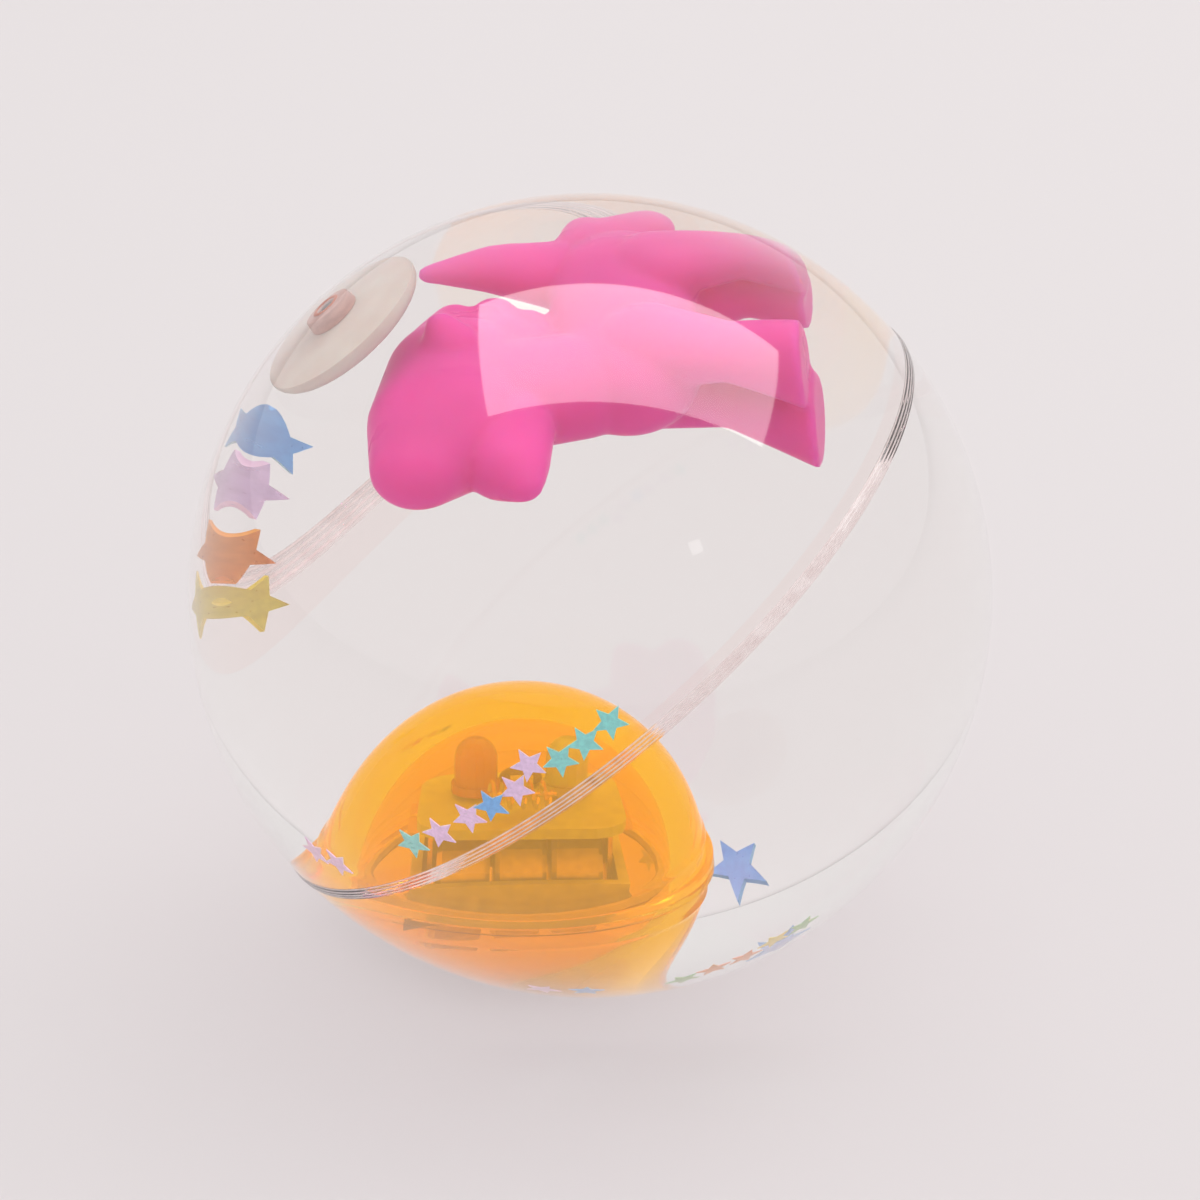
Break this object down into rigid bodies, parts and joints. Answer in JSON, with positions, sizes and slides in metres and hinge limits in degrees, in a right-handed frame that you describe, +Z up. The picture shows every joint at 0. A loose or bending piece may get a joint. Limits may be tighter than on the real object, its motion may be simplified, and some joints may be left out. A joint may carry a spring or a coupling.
{
  "type": "water-filled light-up bouncing ball",
  "caption": "Clear water-filled bouncing ball with a floating toy pony, an orange light-up capsule and loose star confetti inside",
  "frame": {"origin": "the ball's centre", "axes": "+Z up as the ball lies at rest; +X towards the side where the weld seam runs high; the fill valve's pole leans towards -X"},
  "size_m": [0.075, 0.075, 0.075],
  "materials": {
    "clear_shell": "clear glossy soft plastic",
    "weld_bead": "clear weld bead with a faint pink cast",
    "valve_pad": "beige self-sealing rubber",
    "valve_plug": "reddish rubber",
    "seal_pin": "dark rubber",
    "water": "clear water",
    "pony_pink": "translucent magenta-pink plastic",
    "amber_dome": "orange-yellow translucent plastic",
    "amber_cup": "orange-yellow transparent plastic",
    "seal_ring": "orange rubber",
    "cell_steel": "plain button-cell steel",
    "holder_plastic": "dark moulded plastic",
    "clip_brass": "bright contact metal",
    "board": "green circuit board",
    "led_red": "tinted lamp resin",
    "led_blue": "clear lamp resin",
    "chip_resin": "black resin",
    "resistor_body": "tan",
    "switch_steel": "bright spring wire",
    "foil_teal": "pearly",
    "foil_lilac": "pearly",
    "foil_blue": "pearly",
    "foil_green": "pearly",
    "foil_yellow": "pearly",
    "foil_orange": "pearly"
  },
  "bodies": {
    "ball": {"port_shell": "clear_shell", "plain_shell": "clear_shell", "seam_weld": "weld_bead", "valve_pad": "valve_pad", "valve_plug": "valve_plug", "seal_pin": "seal_pin", "water_fill": "water", "confetti_star_01": "foil_teal", "confetti_star_02": "foil_teal", "confetti_star_03": "foil_teal", "confetti_star_04": "foil_lilac", "confetti_star_05": "foil_lilac", "confetti_star_06": "foil_blue", "confetti_star_07": "foil_lilac", "confetti_star_08": "foil_lilac", "confetti_star_09": "foil_teal", "confetti_star_10": "foil_lilac", "confetti_star_11": "foil_lilac", "confetti_star_12": "foil_lilac", "confetti_star_13": "foil_blue", "confetti_star_14": "foil_orange", "confetti_star_15": "foil_yellow", "confetti_star_16": "foil_green", "confetti_star_17": "foil_yellow", "confetti_star_18": "foil_orange", "confetti_star_19": "foil_orange", "confetti_star_20": "foil_green", "confetti_star_21": "foil_blue", "confetti_star_22": "foil_lilac", "confetti_star_23": "foil_blue"},
    "pony": {"pony": "pony_pink"},
    "led_capsule": {"capsule_dome": "amber_dome", "capsule_cup": "amber_cup", "capsule_seal_ring": "seal_ring", "button_cell_1": "cell_steel", "button_cell_2": "cell_steel", "button_cell_3": "cell_steel", "battery_holder": "holder_plastic", "battery_clip_positive": "clip_brass", "battery_clip_negative": "clip_brass", "circuit_board": "board", "led_red": "led_red", "led_blue": "led_blue", "driver_chip": "chip_resin", "resistor": "resistor_body", "switch_pin": "switch_steel"},
    "switch_spring": {"switch_spring": "switch_steel"}
  },
  "joints": [
    {"name": "pony_bob", "type": "slide", "parent": "ball", "child": "pony", "axis": [0, 0, 1], "range_m": [-0.02, 0], "stiffness_N_per_m": 1.5, "springref_m": 0.05, "deforming": ["water_fill"]},
    {"name": "capsule_roll", "type": "hinge", "parent": "ball", "child": "led_capsule", "pos_m": [0, 0, 0], "axis": [-0.5322, 0.8466, 0], "range_deg": [-30, 30], "deforming": ["water_fill"]},
    {"name": "switch_sway", "type": "hinge", "parent": "led_capsule", "child": "switch_spring", "pos_m": [-0.0067, 0.0037, -0.01695], "axis": [0, 0, 1], "range_deg": [-4, 4], "stiffness_Nm_per_rad": 0.0000004}
  ]
}
